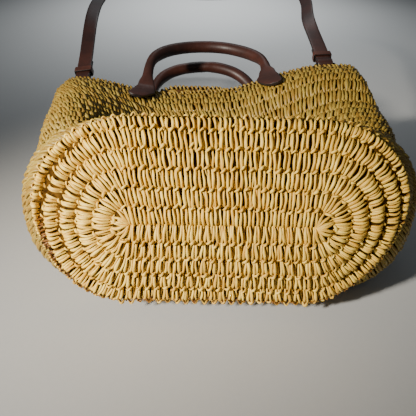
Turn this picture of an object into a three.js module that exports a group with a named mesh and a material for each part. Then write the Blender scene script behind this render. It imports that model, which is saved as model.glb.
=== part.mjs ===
// A crocheted straw basket bag lying on its back wall, in millimetres, +Z up.
// Its oval base faces -Y and its mouth +Y. The rim is pinched shut in the middle.
import * as THREE from 'three';
import { mergeVertices } from 'three/addons/utils/BufferGeometryUtils.js';

// straw body
const CHAIN_LENGTH = 141;      // starting chain in the middle of the oval base
const ROW_HEIGHT = 14.4;         // one crocheted round of the base
const FLAT_ROUNDS = 5;           // rounds that lie in the base
const EDGE_REACH = 8.4;          // what the round at the edge adds outwards
const EDGE_DROP = 10.8;          // and how far it turns back
const BASE_BULGE = 11.2;         // the base is domed outwards by this much
const BASE_LEAN = 20;            // degrees that the base leans back from upright
const WALL_ROUNDS = 16;          // rounds from the base's edge to the rim
const WALL = 4.4;                // thickness of the crocheted straw
const GROOVE = 1.7;              // depth of the furrow between two rounds
const LYING_DEPTH = 217;         // from the base's lower edge to the rim, along the floor
const WALL_SWELL = 18.8;         // the wall's half width beyond the base's half width
const AROUND = 56;               // facets around one round
const EDGING_RADIUS = 2.5;       // corded edging along the rim
const CLEAR = 0.3;               // gap between pieces that touch

// leather handles
const ROLL = 13.4;               // diameter of the rolled leather
const TAB_WIDTH = 25;            // flat flared end
const TAB_THICK = 3.2;
const TAB_LENGTH = { left: 37, right: 31 };   // how far a tab runs down from the rim
const TAB_SPREAD = 130;          // between the middles of a handle's two tabs
const TAB_CLEAR = 1.0;           // over the ribs of the straw
const HANDLE_REACH = 86;         // from the rim to the far side of the arch's middle line
const FRONT_RISE = 22;           // the front arch above the rim's middle
const BACK_FALL = 7;             // and the back arch below it
const HANDLE_SHIFT = -16;        // the pinched rim carries both handles this far to one side

// shoulder strap and its rings
const STRAP_WIDTH = 16;
const STRAP_THICK = 2.8;
const FOLD_LENGTH = 42;          // doubled end beyond each ring
const WIRE = 3.4;                // round wire of the rings
const RING_INSIDE = 17.6;        // free width inside a ring
const RING_HEIGHT = 9.5;         // free height inside a ring
const EYE_CLEAR = 0.35;
const ANCHOR_LENGTH = 24;        // leather strip inside the mouth
const ANCHOR_CLEAR = { left: 6.4, right: 2.4 };   // under the curved corners of the straw
const KEEPER_LENGTH = 8;
const KEEPER_WALL = 1.6;
const STRAP_REACH = 423;         // how far the strap runs behind the rings

const STRAW = new THREE.MeshStandardMaterial({ color: 0xcfa968, roughness: 0.8, metalness: 0 });
const LEATHER = new THREE.MeshStandardMaterial({ color: 0x4a251b, roughness: 0.45, metalness: 0 });
const TRIM = new THREE.MeshStandardMaterial({ color: 0x7a4630, roughness: 0.45, metalness: 0 });
const METAL = new THREE.MeshStandardMaterial({ color: 0x1c1a19, roughness: 0.35, metalness: 0.9 });

const leanSin = Math.sin(BASE_LEAN * Math.PI / 180);
const leanCos = Math.cos(BASE_LEAN * Math.PI / 180);
const EDGE_ROUND = FLAT_ROUNDS + 1;
const RIM_ROUND = EDGE_ROUND + WALL_ROUNDS;
const edgeRadius = ROW_HEIGHT * FLAT_ROUNDS + EDGE_REACH;
const edgeBack = BASE_BULGE + EDGE_DROP;
const baseMiddle = {
  y: leanSin * edgeRadius - leanCos * edgeBack,
  z: leanCos * edgeRadius + leanSin * edgeBack,
};
const lyingHeight = 2 * leanCos * edgeRadius;
const edgeHalf = CHAIN_LENGTH / 2 + edgeRadius;
const bodyHalf = edgeHalf + WALL_SWELL;

// How the wall lies, in shares: far = how much of the rounds, front and back along
// the floor, wide and roundEnd of the body's half width, the rest of the base's height.
// sag lowers the middle of the front, lift raises the middle of the back,
// tilt raises the right corner over the left, shift moves the middle sideways.
const LYING_TABLE = [
  { far: 0.095, front: 0.283, back: 0.09, wide: 0.952, roundEnd: 0.44, top: 0.95, sag: 0.07, lift: 0, tilt: 0, shift: 0, aside: 0, box: 0.95 },
  { far: 0.19, front: 0.327, back: 0.185, wide: 0.944, roundEnd: 0.36, top: 0.9, sag: 0.19, lift: 0, tilt: 0, shift: 0, aside: 0, box: 0.84 },
  { far: 0.31, front: 0.395, back: 0.315, wide: 0.926, roundEnd: 0.28, top: 0.87, sag: 0.29, lift: 0, tilt: -0.015, shift: 0, aside: -0.025, box: 0.72 },
  { far: 0.47, front: 0.51, back: 0.48, wide: 0.955, roundEnd: 0.25, top: 0.86, sag: 0.32, lift: 0.12, tilt: -0.02, shift: -0.02, aside: -0.015, box: 0.66 },
  { far: 0.655, front: 0.665, back: 0.68, wide: 0.964, roundEnd: 0.23, top: 0.852, sag: 0.26, lift: 0.3, tilt: -0.021, shift: -0.045, aside: -0.022, box: 0.64 },
  { far: 0.845, front: 0.84, back: 0.875, wide: 0.953, roundEnd: 0.22, top: 0.894, sag: 0.19, lift: 0.49, tilt: 0.053, shift: -0.07, aside: -0.067, box: 0.57 },
  { far: 1, front: 1, back: 1.03, wide: 0.957, roundEnd: 0.19, top: 0.856, sag: 0.15, lift: 0.655, tilt: 0.07, shift: -0.094, aside: -0.073, box: 0.55 },
];

// How the base's outline leaves a plain oval. Each line adds its shares of the edge's
// reach and drop towards one side, growing from one round on to the edge, and evens out
// over fade rounds of wall. The lower right is turned under most.
const EDGE_TABLE = [
  { across: -1, up: 0, reach: -0.04, drop: -0.5, fade: 3, from: 5 },
  { across: 1, up: 0, reach: -0.8, drop: 0.1, fade: 3, from: 5 },
  { across: 0, up: -1, reach: -1.07, drop: 0.35, fade: 2, from: 5 },
  { across: 0, up: 1, reach: -0.72, drop: 0, fade: 2.5, from: 5 },
  { across: -0.707, up: -0.707, reach: -1.17, drop: 0, fade: 2, from: 5 },
  { across: 0.707, up: -0.707, reach: -1.22, drop: 0, fade: 2, from: 5 },
  { across: -0.707, up: 0.707, reach: 0.66, drop: 0, fade: 2.5, from: 5 },
  { across: 0.707, up: 0.707, reach: 0.82, drop: 0, fade: 2.5, from: 5 },
  { across: 0, up: -1, reach: -0.13, drop: -0.11, fade: 2.5, from: 1 },
  { across: 0.8, up: -0.6, reach: -1.26, drop: 0.67, fade: 2.5, from: 1 },
  { across: -0.8, up: -0.6, reach: 0.02, drop: -0.15, fade: 2.5, from: 1 },
  { across: 1, up: 0, reach: 0.3, drop: -0.26, fade: 2.5, from: 1 },
  { across: -1, up: 0, reach: -0.19, drop: 0.14, fade: 2.5, from: 1 },
];

const smooth = (a, b, v) => {
  const t = Math.min(1, Math.max(0, (v - a) / (b - a)));
  return t * t * (3 - 2 * t);
};

// The wall's table in millimetres, with the base's edge as its first line.
function lyingRows() {
  const edge = {
    round: EDGE_ROUND, frontY: 2 * leanSin * edgeRadius, frontZ: lyingHeight, backY: 0,
    half: edgeHalf, run: edgeRadius, sag: 0, lift: 0, tilt: 0, shift: 0, aside: 0, box: 1,
  };
  return [edge, ...LYING_TABLE.map((row) => ({
    round: EDGE_ROUND + row.far * WALL_ROUNDS,
    frontY: row.front * LYING_DEPTH, frontZ: row.top * lyingHeight, backY: row.back * LYING_DEPTH,
    half: row.wide * bodyHalf, run: row.roundEnd * bodyHalf,
    sag: row.sag * lyingHeight, lift: row.lift * lyingHeight, tilt: row.tilt * lyingHeight,
    shift: row.shift * bodyHalf, aside: row.aside * bodyHalf, box: row.box,
  }))];
}
const ROWS = lyingRows();

// Smooth reading of one column, without overshoot between its lines.
function column(name, round) {
  const last = ROWS.length - 1;
  let i = 0;
  while (i < last - 1 && round > ROWS[i + 1].round) i += 1;
  const slope = (j) => (ROWS[j + 1][name] - ROWS[j][name]) / (ROWS[j + 1].round - ROWS[j].round);
  const tangent = (j) => {
    if (j === 0) return slope(0);
    if (j === last) return slope(last - 1);
    const before = slope(j - 1);
    const after = slope(j);
    return before * after <= 0 ? 0 : 2 / (1 / before + 1 / after);
  };
  const width = ROWS[i + 1].round - ROWS[i].round;
  const t = (round - ROWS[i].round) / width;
  return (1 + 2 * t) * (1 - t) ** 2 * ROWS[i][name] + t * (1 - t) ** 2 * width * tangent(i)
    + t * t * (3 - 2 * t) * ROWS[i + 1][name] + t * t * (t - 1) * width * tangent(i + 1);
}

// Half-width coordinates of an oval with straight sides: x across, b from -1 (back) to 1.
function oval(half, run, box, steps) {
  const straight = Math.max(half - run, 0);
  const points = [[0, 1, 0, 1], [straight, 1, 0, 1]];
  for (let i = 1; i < steps; i += 1) {
    const a = Math.PI * i / steps;
    const c = Math.cos(a);
    points.push([straight + run * Math.sin(a) ** box, Math.sign(c) * Math.abs(c) ** box, Math.sin(a), c]);
  }
  points.push([straight, -1, 0, -1], [0, -1, 0, -1]);
  const mirrored = points.slice(1, -1).reverse().map(([x, b, dx, db]) => [-x, b, -dx, db]);
  return [...points, ...mirrored];
}

// How much further the edge reaches and turns back towards one direction.
function edgeShift(dx, db, round, beyond = 0) {
  let reach = 0;
  let drop = 0;
  for (const row of EDGE_TABLE) {
    const grown = Math.min(1, Math.max(0, (round - row.from) / (EDGE_ROUND - row.from)));
    const turned = row.from === FLAT_ROUNDS ? grown : grown ** 1.3;
    const share = turned * (1 - smooth(0, row.fade, beyond)) * Math.max(0, dx * row.across + db * row.up) ** 2;
    reach += row.reach * share * EDGE_REACH;
    drop += row.drop * share * EDGE_DROP;
  }
  return new THREE.Vector3(
    dx * reach,
    leanSin * db * reach + leanCos * drop,
    leanCos * db * reach - leanSin * drop,
  );
}

function basePoint(x, b, radius, back) {
  return new THREE.Vector3(
    x,
    baseMiddle.y + leanSin * b * radius + leanCos * back,
    baseMiddle.z + leanCos * b * radius - leanSin * back,
  );
}

function denseFlat(points) {
  const dense = [];
  points.forEach((p, i) => {
    const next = points[(i + 1) % points.length];
    const cuts = Math.abs(next[0] - p[0]) > 20 ? 16 : 1;
    for (let j = 0; j < cuts; j += 1) dense.push(p.map((v, k) => v + (next[k] - v) * j / cuts));
  });
  return dense;
}

// One round as a closed fine line, from the middle of the front towards +X.
function roundLine(round) {
  if (round <= EDGE_ROUND) {
    const turned = Math.max(0, round - FLAT_ROUNDS);
    const flat = Math.min(round, FLAT_ROUNDS);
    const radius = ROW_HEIGHT * flat + EDGE_REACH * Math.sin(turned * Math.PI / 2) ** 0.9 * (turned > 0 ? 1 : 0);
    const back = BASE_BULGE * (flat / FLAT_ROUNDS) ** 2 + EDGE_DROP * turned ** 1.6;
    return denseFlat(oval(CHAIN_LENGTH / 2 + radius, radius, 1, 24))
      .map(([x, b, dx, db]) => basePoint(x, b, radius, back).add(edgeShift(dx, db, round)));
  }
  const at = (name) => column(name, round);
  const frontY = at('frontY');
  const frontZ = at('frontZ');
  const backY = at('backY');
  const half = at('half');
  const shift = at('shift');
  const aside = at('aside');
  return denseFlat(oval(half, at('run'), at('box'), 24)).map(([x, b, dx, db]) => {
    const middle = 1 - smooth(0.14, 0.8, Math.abs(x - shift) / half);
    const front = smooth(0, 1, b);
    const back = smooth(0, 1, -b);
    const lift = back * at('lift') * middle;
    return new THREE.Vector3(
      x + aside,
      (frontY + backY) / 2 + b * (frontY - backY) / 2 + 0.1 * lift,
      frontZ * (1 + b) / 2 - front * at('sag') * middle + front * at('tilt') * x / half + lift,
    ).add(edgeShift(dx, db, EDGE_ROUND, round - EDGE_ROUND));
  });
}

const roundCache = new Map();
// The same round as evenly spaced points.
function roundPoints(round, count = AROUND) {
  const key = `${round.toFixed(4)}/${count}`;
  if (roundCache.has(key)) return roundCache.get(key);
  const line = roundLine(round);
  const lengths = [0];
  line.forEach((p, i) => lengths.push(lengths[i] + p.distanceTo(line[(i + 1) % line.length])));
  const total = lengths[line.length];
  const points = [];
  let j = 0;
  for (let i = 0; i < count; i += 1) {
    const want = total * i / count;
    while (lengths[j + 1] < want - 1e-9) j += 1;
    const t = (want - lengths[j]) / Math.max(lengths[j + 1] - lengths[j], 1e-9);
    points.push(line[j].clone().lerp(line[(j + 1) % line.length], t));
  }
  roundCache.set(key, points);
  return points;
}

const baseNormal = new THREE.Vector3(0, -leanCos, leanSin);

// Outward directions of the straw at one round.
function roundNormals(round, count = AROUND) {
  if (round < 0.9) return roundPoints(round, count).map(() => baseNormal.clone());
  const inner = roundPoints(Math.max(round - 0.3, 0.4), count);
  const outer = roundPoints(Math.min(round + 0.3, RIM_ROUND), count);
  const here = roundPoints(round, count);
  return here.map((p, i) => {
    const along = here[(i + 1) % count].clone().sub(here[(i + count - 1) % count]);
    const across = outer[i].clone().sub(inner[i]);
    return along.cross(across).normalize();
  });
}

// Points of one round, moved inwards by a depth. Furrows fade where the straw lies on the floor.
function strawRing(round, depth, furrow, count = AROUND) {
  const normals = roundNormals(round, count);
  return roundPoints(round, count).map((p, i) => {
    const lying = smooth(0.2, 3, p.z);
    return p.clone().addScaledVector(normals[i], -(depth + furrow * lying));
  });
}

// A closed skin through rings of equally many points; closed rings loop back to the first.
function skin(rings, { loop = false, caps = false } = {}) {
  const positions = [];
  const put = (...points) => points.forEach((p) => positions.push(p.x, p.y, p.z));
  const n = rings[0].length;
  const pairs = loop ? rings.length : rings.length - 1;
  for (let r = 0; r < pairs; r += 1) {
    const low = rings[r];
    const high = rings[(r + 1) % rings.length];
    for (let i = 0; i < n; i += 1) {
      const j = (i + 1) % n;
      put(low[i], low[j], high[j]);
      put(low[i], high[j], high[i]);
    }
  }
  if (caps) {
    const lid = (ring, flip) => {
      const middle = ring.reduce((sum, p) => sum.add(p), new THREE.Vector3()).divideScalar(n);
      ring.forEach((p, i) => (flip ? put(middle, ring[(i + 1) % n], p) : put(middle, p, ring[(i + 1) % n])));
    };
    lid(rings[0], true);
    lid(rings[rings.length - 1], false);
  }
  return weld(positions);
}

function weld(positions) {
  const geometry = new THREE.BufferGeometry();
  geometry.setAttribute('position', new THREE.Float32BufferAttribute(positions, 3));
  const welded = mergeVertices(geometry, 1e-3);
  const index = welded.getIndex().array;
  const kept = [];
  for (let i = 0; i < index.length; i += 3) {
    const [a, b, c] = [index[i], index[i + 1], index[i + 2]];
    if (a !== b && b !== c && a !== c) kept.push(a, b, c);
  }
  welded.setIndex(kept);
  welded.computeVertexNormals();
  return welded;
}

function named(name, geometry, material) {
  const mesh = new THREE.Mesh(geometry, material);
  mesh.name = name;
  return mesh;
}

// Hollow body: outside from the chain to the rim, over the edge, and back down inside.
function basketBody() {
  const rings = [];
  for (let half = 0; half <= 2 * RIM_ROUND; half += 1) {
    const furrow = half % 2 === 0 && half > 0 ? GROOVE : 0;
    rings.push(strawRing(half / 2, 0, furrow));
  }
  for (let round = RIM_ROUND; round >= 0; round -= 1) rings.push(strawRing(round, WALL, 0));
  return named('basket_body', skin(rings), STRAW);
}

// Corded edging just beyond the last round.
function rimEdging() {
  const last = strawRing(RIM_ROUND, WALL / 2, GROOVE / 2);
  const before = strawRing(RIM_ROUND - 0.4, WALL / 2, GROOVE / 2);
  const normals = roundNormals(RIM_ROUND);
  const sides = 6;
  const rings = [];
  for (let s = 0; s < sides; s += 1) {
    const a = 2 * Math.PI * s / sides;
    rings.push(last.map((p, i) => {
      const outwards = p.clone().sub(before[i]).normalize();
      return p.clone()
        .addScaledVector(outwards, EDGING_RADIUS + CLEAR + EDGING_RADIUS * Math.cos(a))
        .addScaledVector(normals[i], -EDGING_RADIUS * Math.sin(a));
    }));
  }
  return named('rim_edging', skin(rings, { loop: true }), STRAW);
}

// Place on the straw's outside, by how far it lies across and by its round.
function onStraw(across, round, side) {
  const count = 560;
  const points = roundPoints(round, count);
  const normals = roundNormals(round, count);
  let best = -1;
  points.forEach((p, i) => {
    const front = i < count / 4 || i > 3 * count / 4;
    if (front !== (side > 0)) return;
    if (best < 0 || Math.abs(p.x - across) < Math.abs(points[best].x - across)) best = i;
  });
  return { point: points[best], normal: normals[best] };
}

// The arch of a handle in shares: along = of its reach, out = of half its spread,
// up = of its rise. wide and thick are shares of the way from the roll to the flat tab.
const ARCH_TABLE = {
  front: [
    { along: 0.07, out: 0.99, up: 0.06, wide: 0.32, thick: 0.85 },
    { along: 0.22, out: 0.985, up: 0.34, wide: -0.18, thick: 0.6 },
    { along: 0.38, out: 0.968, up: 0.69, wide: -0.25, thick: 0.3 },
    { along: 0.53, out: 0.912, up: 0.905, wide: -0.14, thick: 0.1 },
    { along: 0.69, out: 0.77, up: 1.02, wide: -0.03, thick: 0 },
    { along: 0.82, out: 0.6, up: 1.035, wide: 0, thick: 0 },
    { along: 0.94, out: 0.36, up: 1.012, wide: 0, thick: 0 },
    { along: 0.99, out: 0.12, up: 1, wide: 0, thick: 0 },
  ],
  back: [
    { along: 0.1, out: 0.99, up: 0.05, wide: 0.32, thick: 0.85 },
    { along: 0.28, out: 0.985, up: 0.2, wide: -0.14, thick: 0.6 },
    { along: 0.48, out: 0.955, up: 0.45, wide: -0.14, thick: 0.3 },
    { along: 0.655, out: 0.875, up: 0.655, wide: -0.06, thick: 0.1 },
    { along: 0.8, out: 0.745, up: 0.8, wide: 0, thick: 0 },
    { along: 0.91, out: 0.55, up: 0.91, wide: 0, thick: 0 },
    { along: 0.975, out: 0.31, up: 0.975, wide: 0, thick: 0 },
    { along: 1, out: 0.1, up: 1, wide: 0, thick: 0 },
  ],
};

// A tab's outline from its rounded end to the rim, cut slantwise: places on its outer
// and inner side as [away from the handle, down] in shares of half its width and its length.
const TAB_TABLE = [
  { outer: [0.74, 0.96], inner: [0.06, 0.9] },
  { outer: [1.03, 0.86], inner: [-0.4, 0.7] },
  { outer: [1.0, 0.6], inner: [-0.77, 0.38] },
  { outer: [0.88, 0.24], inner: [-0.82, 0.12] },
];

// A handle as one skin: flat tab on the straw, rolled arch, flat tab again.
function handle(name, side, rise) {
  const stations = [];
  for (const hand of [-1, 1]) {
    const half = [];
    const across = HANDLE_SHIFT + hand * TAB_SPREAD / 2;
    const tabRounds = TAB_LENGTH[hand < 0 ? 'left' : 'right'] / (LYING_DEPTH / WALL_ROUNDS);
    const tabSpot = (out, down) => onStraw(across + hand * out * TAB_WIDTH / 2, RIM_ROUND - down * tabRounds, side);
    for (const { outer, inner } of TAB_TABLE) {
      const middle = tabSpot((outer[0] + inner[0]) / 2, (outer[1] + inner[1]) / 2);
      const turn = tabSpot(...outer).point.clone().sub(tabSpot(...inner).point);
      half.push({
        at: middle.point.clone().addScaledVector(middle.normal, TAB_CLEAR + TAB_THICK / 2), up: middle.normal.clone(),
        width: turn.length(), thick: TAB_THICK, across: turn.normalize().multiplyScalar(side),
      });
    }
    const rim = onStraw(across, RIM_ROUND, side);
    const start = rim.point.clone().addScaledVector(rim.normal, (side > 0 ? 2 : 4) * TAB_CLEAR + TAB_THICK / 2);
    half.push({ at: start, up: rim.normal.clone(), width: TAB_WIDTH * 0.76, thick: TAB_THICK });
    const arch = { y: onStraw(HANDLE_SHIFT, RIM_ROUND, 1).point.y, z: onStraw(HANDLE_SHIFT, RIM_ROUND, 1).point.z };
    for (const row of ARCH_TABLE[side > 0 ? 'front' : 'back']) {
      const reachTo = arch.y + HANDLE_REACH + (side > 0 ? 0 : ROLL);
      half.push({
        at: new THREE.Vector3(
          HANDLE_SHIFT + hand * row.out * TAB_SPREAD / 2,
          start.y + row.along * (reachTo - start.y),
          start.z + row.up * (arch.z + rise - start.z),
        ),
        up: rim.normal.clone(),
        width: ROLL + row.wide * (TAB_WIDTH - ROLL),
        thick: ROLL + row.thick * (TAB_THICK - ROLL),
      });
    }
    stations.push(hand < 0 ? half : half.reverse());
  }
  return named(name, ribbon(stations.flat(), 10, 26, side), LEATHER);
}

// Across one station: square to the path unless the station states a slant.
function acrossOf(station, ahead) {
  if (station.across) return station.across;
  const up = station.up.clone().addScaledVector(ahead, -station.up.dot(ahead));
  return new THREE.Vector3().crossVectors(up, ahead).normalize();
}

// A skin along stations, each with a place, an up direction, a width and a thickness.
function ribbon(stations, sides, steps, side = 1) {
  const curve = new THREE.CatmullRomCurve3(stations.map((s) => s.at), false, 'centripetal');
  const rings = [];
  const count = stations.length - 1;
  for (let i = 0; i <= count; i += 1) {
    const cuts = i < count ? Math.max(1, Math.round(steps / 13)) : 1;
    for (let c = 0; c < cuts; c += 1) {
      const t = c / cuts;
      const a = stations[i];
      const b = stations[Math.min(i + 1, count)];
      const place = curve.getPoint((i + t) / count);
      const ahead = curve.getTangent((i + t) / count);
      const up = a.up.clone().lerp(b.up, t);
      up.addScaledVector(ahead, -up.dot(ahead)).normalize();
      const across = acrossOf(a, ahead).clone().lerp(acrossOf(b, ahead), t).normalize();
      const width = a.width + (b.width - a.width) * t;
      const thick = a.thick + (b.thick - a.thick) * t;
      const ring = [];
      for (let s = 0; s < sides; s += 1) {
        const turn = 2 * Math.PI * (s + 0.5) / sides;
        const flat = smooth(1.2, 3, width / thick);
        const power = 1 - 0.55 * flat;
        const cx = Math.sign(Math.cos(turn)) * Math.abs(Math.cos(turn)) ** power * width / 2;
        const cz = Math.sign(Math.sin(turn)) * Math.abs(Math.sin(turn)) ** power * thick / 2;
        ring.push(place.clone().addScaledVector(across, cx).addScaledVector(up, cz));
      }
      rings.push(ring);
    }
  }
  return skin(rings, { caps: true });
}

// Local frame where a strap leaves the mouth: the ring's lower bar, forwards, outwards and across.
function mouthFrame(hand) {
  const across = STRAP_ENDS[hand].across * bodyHalf;
  const here = onStraw(across, RIM_ROUND, 1);
  const behind = onStraw(across, RIM_ROUND - 0.6, 1);
  const out = here.normal.clone();
  const along = new THREE.Vector3(0, here.point.y - behind.point.y, here.point.z - behind.point.z);
  along.addScaledVector(out, -along.dot(out)).normalize();
  const depth = WALL + ANCHOR_CLEAR[hand] + STRAP_THICK + CLEAR / 2;
  const bar = here.point.clone().addScaledVector(out, -depth)
    .addScaledVector(along, 2 * EDGING_RADIUS + CLEAR + eyeRadius + STRAP_THICK / 2 + 2 * CLEAR);
  return { bar, along, out, across: new THREE.Vector3().crossVectors(along, out) };
}
const eyeRadius = WIRE / 2 + EYE_CLEAR + STRAP_THICK / 2;
const layerOffset = (STRAP_THICK + CLEAR) / 2;

// A strip folded round a bar: tail layer, turn, upper layer. away points from the bar.
function foldedEnd(bar, away, up, length) {
  const samples = [];
  const marks = [1, 0.72, 0.45, 0.27, 0.19, 0.11, 0.04];
  const offset = (d) => layerOffset + (eyeRadius - layerOffset) * (1 - smooth(1, 11, d));
  const layer = (share, sign) => samples.push({
    at: bar.clone().addScaledVector(away, share * length).addScaledVector(up, sign * offset(share * length)),
    up: up.clone().multiplyScalar(sign),
  });
  marks.forEach((share) => layer(share, -1));
  for (let i = 0; i <= 8; i += 1) {
    const a = -Math.PI / 2 + Math.PI * i / 8;
    const radial = away.clone().multiplyScalar(-Math.cos(a)).addScaledVector(up, Math.sin(a));
    samples.push({ at: bar.clone().addScaledVector(radial, eyeRadius), up: radial });
  }
  marks.slice().reverse().forEach((share) => layer(share, 1));
  return samples;
}

// A flat strip through samples, each with a place and the direction that its face looks.
function band(samples, width, thick) {
  const rings = samples.map((sample, i) => {
    const before = samples[Math.max(i - 1, 0)].at;
    const after = samples[Math.min(i + 1, samples.length - 1)].at;
    const ahead = after.clone().sub(before).normalize();
    const up = sample.up.clone().addScaledVector(ahead, -sample.up.dot(ahead)).normalize();
    const across = new THREE.Vector3().crossVectors(up, ahead);
    return [[-1, -1], [1, -1], [1, 1], [-1, 1]].map(([x, z]) => sample.at.clone()
      .addScaledVector(across, x * width / 2).addScaledVector(up, z * thick / 2));
  });
  return skin(rings, { caps: true });
}

function anchor(name, hand) {
  const frame = mouthFrame(hand);
  const away = frame.along.clone().negate();
  return named(name, band(foldedEnd(frame.bar, away, frame.out, ANCHOR_LENGTH), STRAP_WIDTH, STRAP_THICK), LEATHER);
}

// The ring stands up from its lower bar; the strap's end turns round its upper bar.
function ringFrame(hand) {
  const frame = mouthFrame(hand);
  const { lean } = STRAP_ENDS[hand];
  const up = frame.along.clone().multiplyScalar(Math.cos(lean)).addScaledVector(frame.out, Math.sin(lean));
  return { ...frame, up, top: frame.bar.clone().addScaledVector(up, RING_HEIGHT + WIRE) };
}

function ring(name, hand) {
  const frame = ringFrame(hand);
  const halfWide = (RING_INSIDE + WIRE) / 2;
  const high = RING_HEIGHT + WIRE;
  const corner = 3.4;
  const path = [];
  for (const [sx, sz] of [[1, 0], [1, 1], [-1, 1], [-1, 0]]) {
    const from = { '1,0': -90, '1,1': 0, '-1,1': 90, '-1,0': 180 }[`${sx},${sz}`];
    for (let i = 0; i <= 3; i += 1) {
      const a = (from + 30 * i) * Math.PI / 180;
      path.push([
        sx * (halfWide - corner) + corner * Math.cos(a),
        (sz ? high - corner : corner) + corner * Math.sin(a),
        a,
      ]);
    }
  }
  const through = new THREE.Vector3().crossVectors(frame.across, frame.up);
  const rings = path.map(([x, z, a]) => {
    const middle = frame.bar.clone().addScaledVector(frame.across, x).addScaledVector(frame.up, z);
    const outward = frame.across.clone().multiplyScalar(Math.cos(a)).addScaledVector(frame.up, Math.sin(a));
    return Array.from({ length: 8 }, (_, s) => {
      const turn = 2 * Math.PI * s / 8;
      return middle.clone().addScaledVector(outward, WIRE / 2 * Math.cos(turn))
        .addScaledVector(through, -WIRE / 2 * Math.sin(turn));
    });
  });
  return named(name, skin(rings, { loop: true }), METAL);
}

// Directions of the strap where it leaves each ring.
function strapStart(hand) {
  const side = STRAP_ENDS[hand];
  const frame = ringFrame(hand);
  const away = new THREE.Vector3(side.aside, 1, side.climb);
  away.addScaledVector(frame.across, -away.dot(frame.across)).normalize();
  const up = new THREE.Vector3().crossVectors(frame.across, away).normalize();
  if (up.dot(frame.out) < 0) up.negate();
  return { bar: frame.top, away, up };
}
// across is a share of the body's half width.
const STRAP_ENDS = {
  left: { across: -0.91, lean: 0.5, aside: 0, climb: 0.3 },
  right: { across: 0.66, lean: 0.5, aside: 0, climb: 0.15 },
};

// Route behind the rings, in shares: far = of the reach, high = of the base's height,
// wide = of the body's half width, roll = how far the strip has turned on its edge.
const STRAP_ROUTE = [
  { far: 0.32, high: 0.98, wide: -0.95, roll: 0.05 },
  { far: 0.5, high: 1.005, wide: -0.985, roll: 0.12 },
  { far: 0.7, high: 0.97, wide: -0.99, roll: 0.4 },
  { far: 0.88, high: 0.88, wide: -0.82, roll: 0.85 },
  { far: 0.975, high: 0.815, wide: -0.48, roll: 1 },
  { far: 1, high: 0.79, wide: -0.14, roll: 1 },
  { far: 0.975, high: 0.82, wide: 0.2, roll: 1 },
  { far: 0.88, high: 0.9, wide: 0.54, roll: 0.9 },
  { far: 0.7, high: 0.99, wide: 0.7, roll: 0.7 },
  { far: 0.5, high: 1.03, wide: 0.69, roll: 0.45 },
  { far: 0.32, high: 0.99, wide: 0.645, roll: 0.3 },
];

function shoulderStrap() {
  const left = strapStart('left');
  const right = strapStart('right');
  const head = foldedEnd(left.bar, left.away, left.up, FOLD_LENGTH);
  const tail = foldedEnd(right.bar, right.away, right.up, FOLD_LENGTH).reverse();
  const start = head[head.length - 1];
  const end = tail[0];
  const middle = STRAP_ROUTE.map((row) => new THREE.Vector3(
    row.wide * bodyHalf,
    LYING_DEPTH + row.far * STRAP_REACH,
    row.high * lyingHeight,
  ));
  const curve = new THREE.CatmullRomCurve3([start.at, ...middle, end.at], false, 'centripetal');
  const rolls = [0, ...STRAP_ROUTE.map((row) => row.roll), 0];
  const spans = rolls.length - 1;
  const samples = [];
  for (let i = 1; i < spans * 3; i += 1) {
    const t = i / (spans * 3);
    const at = curve.getPoint(t);
    const ahead = curve.getTangent(t);
    const k = Math.min(Math.floor(t * spans), spans - 1);
    const roll = rolls[k] + (rolls[k + 1] - rolls[k]) * (t * spans - k);
    const side = new THREE.Vector3(ahead.y, -ahead.x, 0).normalize();
    const upward = new THREE.Vector3().crossVectors(side, ahead).normalize();
    const near = t < 0.5 ? left.up : right.up;
    const settle = smooth(0, 1.5 / spans, Math.min(t, 1 - t));
    const up = upward.clone().multiplyScalar(Math.cos(roll * Math.PI / 2))
      .addScaledVector(side, Math.sin(roll * Math.PI / 2));
    samples.push({ at, up: near.clone().lerp(up, settle).normalize() });
  }
  return named('shoulder_strap', band([...head, ...samples, ...tail], STRAP_WIDTH, STRAP_THICK), LEATHER);
}

// A closed leather loop round both layers of a folded strap end.
function keeper(name, hand) {
  const { bar, away, up } = strapStart(hand);
  const across = new THREE.Vector3().crossVectors(away, up);
  const gapWide = STRAP_WIDTH / 2 + EYE_CLEAR;
  const gapHigh = layerOffset + STRAP_THICK / 2 + EYE_CLEAR;
  const rect = (x, z) => [[-x, -z], [x, -z], [x, z], [-x, z]];
  const ringAt = (d, x, z) => rect(x, z).map(([rx, rz]) => bar.clone()
    .addScaledVector(away, d).addScaledVector(across, rx).addScaledVector(up, rz));
  const near = 14;
  const far = near + KEEPER_LENGTH;
  const rings = [
    ringAt(near, gapWide, gapHigh), ringAt(far, gapWide, gapHigh),
    ringAt(far, gapWide + KEEPER_WALL, gapHigh + KEEPER_WALL),
    ringAt(near, gapWide + KEEPER_WALL, gapHigh + KEEPER_WALL),
  ];
  return named(name, skin(rings, { loop: true }), TRIM);
}

// All pieces, moved so that the origin is under the middle of their box.
function assembly() {
  const group = new THREE.Group();
  group.name = 'straw_basket_bag';
  group.add(
    basketBody(), rimEdging(),
    handle('handle_front', 1, FRONT_RISE), handle('handle_back', -1, -BACK_FALL),
    anchor('strap_anchor_left', 'left'), anchor('strap_anchor_right', 'right'),
    ring('ring_left', 'left'), ring('ring_right', 'right'),
    shoulderStrap(), keeper('strap_keeper_left', 'left'), keeper('strap_keeper_right', 'right'),
  );
  const box = new THREE.Box3().setFromObject(group);
  const middle = box.getCenter(new THREE.Vector3());
  group.children.forEach((mesh) => mesh.geometry.translate(-middle.x, -middle.y, -box.min.z));
  return group;
}

export default assembly();
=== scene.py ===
# Straw basket bag lying on its back wall: stitches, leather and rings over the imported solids.
import bpy
import math
import numpy as np
from mathutils import Matrix, Vector


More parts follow.
